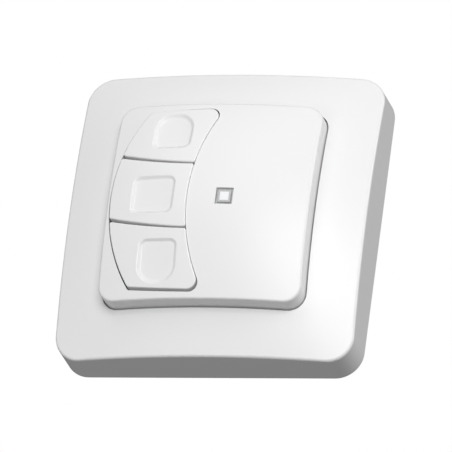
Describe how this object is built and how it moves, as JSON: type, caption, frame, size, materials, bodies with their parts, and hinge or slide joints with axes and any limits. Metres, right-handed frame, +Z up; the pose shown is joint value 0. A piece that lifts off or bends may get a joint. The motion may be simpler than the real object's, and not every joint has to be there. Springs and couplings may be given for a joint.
{
  "type": "wireless remote wall switch",
  "caption": "Square wall-mounted radio remote with a domed cover frame, a raised centre plate, a bowed column of rocking push keys with finger dimples, and a light window.",
  "frame": {"origin": "centre of the rear face, on the wall plane", "axes": "+Y into the wall along the rear face's normal, +Z up, +X to the right as seen from the front"},
  "size_m": [0.08, 0.0261, 0.08],
  "materials": {
    "white_plastic": "smooth moulded white, low gloss",
    "light_guide": "frosted light guide",
    "grey_plastic": "moulded, fine grain",
    "pin_steel": "ground pin",
    "board_green": "lacquered board",
    "screw_steel": "zinc plated",
    "switch_case": "moulded black",
    "switch_plunger": "moulded black",
    "holder_plastic": "moulded black",
    "cell_steel": "nickel plated",
    "contact_metal": "spring bronze",
    "lamp_resin": "clear resin",
    "chip_black": "moulded case",
    "crystal_can": "drawn can",
    "capacitor_ceramic": "fired ceramic",
    "aerial_wire": "bare copper wire"
  },
  "bodies": {
    "root": {"cover_frame": "white_plastic", "front_cover": "white_plastic", "light_window": "light_guide", "wall_plate": "grey_plastic", "base_housing": "grey_plastic", "key_axle": "pin_steel", "circuit_board": "board_green", "board_screws": "screw_steel", "up_switch": "switch_case", "stop_switch": "switch_case", "down_switch": "switch_case", "learn_switch": "switch_case", "cell_holder": "holder_plastic", "coin_cell": "cell_steel", "cell_clip": "contact_metal", "cell_spring": "contact_metal", "status_lamp": "lamp_resin", "control_chip": "chip_black", "radio_chip": "chip_black", "crystal": "crystal_can", "board_capacitors": "capacitor_ceramic", "aerial": "aerial_wire"},
    "up_key": {"up_key": "white_plastic"},
    "stop_key": {"stop_key": "white_plastic"},
    "down_key": {"down_key": "white_plastic"},
    "up_plunger": {"up_plunger": "switch_plunger"},
    "stop_plunger": {"stop_plunger": "switch_plunger"},
    "down_plunger": {"down_plunger": "switch_plunger"},
    "learn_button": {"learn_button": "switch_plunger"}
  },
  "joints": [
    {"name": "up_key_hinge", "type": "hinge", "parent": "root", "child": "up_key", "pos_m": [0.0006, -0.019, 0], "axis": [0, 0, -1], "range_deg": [0, 1.26], "stiffness_Nm_per_rad": 0.1},
    {"name": "up_plunger_slide", "type": "slide", "parent": "root", "child": "up_plunger", "axis": [0, 1, 0], "range_m": [0, 0.0003]},
    {"name": "stop_key_hinge", "type": "hinge", "parent": "root", "child": "stop_key", "pos_m": [0.0006, -0.019, 0], "axis": [0, 0, -1], "range_deg": [0, 1.26], "stiffness_Nm_per_rad": 0.1},
    {"name": "stop_plunger_slide", "type": "slide", "parent": "root", "child": "stop_plunger", "axis": [0, 1, 0], "range_m": [0, 0.0003]},
    {"name": "down_key_hinge", "type": "hinge", "parent": "root", "child": "down_key", "pos_m": [0.0006, -0.019, 0], "axis": [0, 0, -1], "range_deg": [0, 1.26], "stiffness_Nm_per_rad": 0.1},
    {"name": "down_plunger_slide", "type": "slide", "parent": "root", "child": "down_plunger", "axis": [0, 1, 0], "range_m": [0, 0.0003]},
    {"name": "learn_button_slide", "type": "slide", "parent": "root", "child": "learn_button", "axis": [0, -1, 0], "range_m": [0, 0.0003], "stiffness_N_per_m": 200}
  ],
  "couplings": [
    {"joint": "up_plunger_slide", "follows": "up_key_hinge", "m_per_rad": 0.0136},
    {"joint": "stop_plunger_slide", "follows": "stop_key_hinge", "m_per_rad": 0.0136},
    {"joint": "down_plunger_slide", "follows": "down_key_hinge", "m_per_rad": 0.0136}
  ]
}
